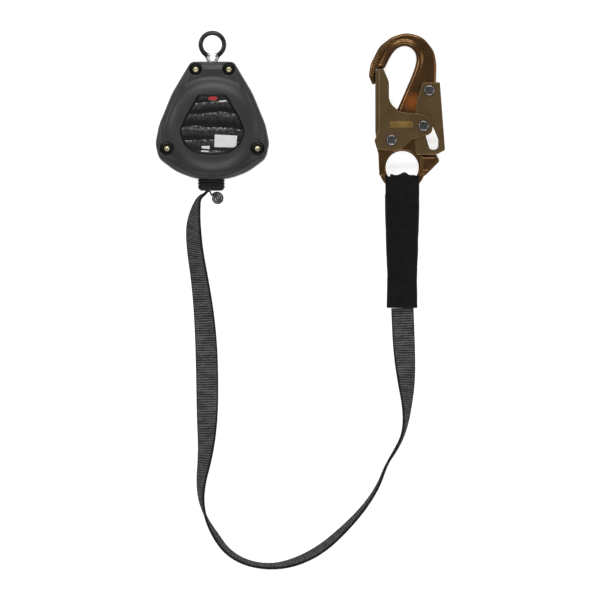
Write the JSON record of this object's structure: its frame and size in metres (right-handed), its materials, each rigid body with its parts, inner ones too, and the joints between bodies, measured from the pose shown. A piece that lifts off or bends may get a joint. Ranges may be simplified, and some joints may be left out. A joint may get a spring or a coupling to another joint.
{
  "type": "self retracting lifeline",
  "caption": "Webbing self retracting lifeline: sprung drum in a two-shell housing with a swivel eye, flat webbing, and a double locking snap hook on a sleeved loop.",
  "frame": {"origin": "drum axis at the housing's rear face, on which the device lies", "axes": "+Z out of the front label, +Y from the drum towards the swivel eye, +X towards the hook"},
  "size_m": [0.2461, 0.4584, 0.0562],
  "materials": {
    "dark_shell": "moulded, fine grain with glossy edges",
    "label_black": "glossy film",
    "label_white": "plain film",
    "label_red": "plain film",
    "zinc_yellow": "yellow zinc plated",
    "brass_insert": "knurled",
    "steel": "zinc plated",
    "spring_steel": "blued",
    "bronze_bush": "sintered",
    "friction": "friction lining",
    "nylon": "moulded",
    "rubber": "ribbed",
    "dark_chrome": "polished",
    "bright_steel": "polished",
    "webbing": "woven",
    "sleeve": "woven, dense",
    "thread": "bonded thread",
    "forged_bronze": "yellow zinc over forged steel",
    "plate_bronze": "yellow zinc plated plate",
    "brass_bar": "plain bar"
  },
  "bodies": {
    "housing": {"rear_cover": "dark_shell", "front_cover": "dark_shell", "front_label": "label_black", "rear_label": "label_black", "label_panel": "label_white", "label_mark": "label_red", "housing_screws": "zinc_yellow", "screw_inserts": "brass_insert", "web_nozzle": "rubber", "inner_web_run": "webbing", "web_guide_pins": "steel", "load_frame": "steel", "main_shaft": "steel", "shaft_nut": "steel", "disc_springs": "spring_steel", "brake_disc": "friction", "spring_case": "nylon", "power_spring": "spring_steel", "swivel_washer": "bronze_bush", "lifeline_webbing": "webbing", "web_stop_roll": "webbing", "web_end_loop": "webbing", "loop_stitching": "thread", "protective_sleeve": "sleeve"},
    "swivel": {"swivel_eye": "dark_chrome", "swivel_nut": "steel"},
    "drum": {"drum_hub": "nylon", "web_anchor_pin": "steel", "drum_rear_flange": "steel", "drum_front_flange": "steel", "drum_bushes": "bronze_bush", "spring_arbor": "steel", "wound_webbing": "webbing", "pawl_pins": "steel", "pawl_springs": "spring_steel"},
    "pawl_a": {"pawl_a": "spring_steel"},
    "pawl_b": {"pawl_b": "spring_steel"},
    "brake_ring": {"ratchet_ring": "steel"},
    "hook": {"hook_body": "forged_bronze", "gate_rivet": "bright_steel", "gate_washers": "steel", "lever_rivet": "bright_steel", "gate_spring": "spring_steel", "lever_spring": "spring_steel"},
    "gate": {"hook_gate": "plate_bronze", "gate_bar": "brass_bar", "link_rivet": "bright_steel"},
    "lever": {"lock_lever": "plate_bronze"}
  },
  "joints": [
    {"name": "swivel_spin", "type": "hinge", "parent": "housing", "child": "swivel", "pos_m": [0, 0.0705, 0.028], "axis": [0, 1, 0], "continuous": true},
    {"name": "drum_spin", "type": "hinge", "parent": "housing", "child": "drum", "pos_m": [0, 0, 0.0283], "axis": [0, 0, 1], "range_deg": [-1080, 1080]},
    {"name": "pawl_a_swing", "type": "hinge", "parent": "drum", "child": "pawl_a", "pos_m": [0.021, 0, 0.0418], "axis": [0, 0, -1], "range_deg": [0, 15], "stiffness_Nm_per_rad": 0.002, "springref_deg": -5.73, "deforming": ["pawl_springs"]},
    {"name": "pawl_b_swing", "type": "hinge", "parent": "drum", "child": "pawl_b", "pos_m": [-0.021, 0, 0.0418], "axis": [0, 0, -1], "range_deg": [0, 15], "stiffness_Nm_per_rad": 0.002, "springref_deg": -5.73},
    {"name": "brake_slip", "type": "hinge", "parent": "housing", "child": "brake_ring", "pos_m": [0, 0, 0.0426], "axis": [0, 0, 1], "range_deg": [-360, 360]},
    {"name": "hook_tilt", "type": "hinge", "parent": "housing", "child": "hook", "pos_m": [0.1613, -0.05075, 0.01], "axis": [1, 0, 0], "range_deg": [-25, 25]},
    {"name": "gate_open", "type": "hinge", "parent": "hook", "child": "gate", "pos_m": [0.1523, -0.0104, 0.01], "axis": [0, 0, -1], "range_deg": [0, 20], "stiffness_Nm_per_rad": 0.15, "springref_deg": -17.19, "deforming": ["gate_spring"]},
    {"name": "lever_press", "type": "hinge", "parent": "hook", "child": "lever", "pos_m": [0.1843, 0.0318, 0.01], "axis": [0, 0, -1], "range_deg": [0, 4.2], "stiffness_Nm_per_rad": 0.1, "springref_deg": -5.73, "deforming": ["lever_spring"]}
  ],
  "couplings": [
    {"joint": "lever_press", "follows": "gate_open", "ratio": 0.2}
  ]
}
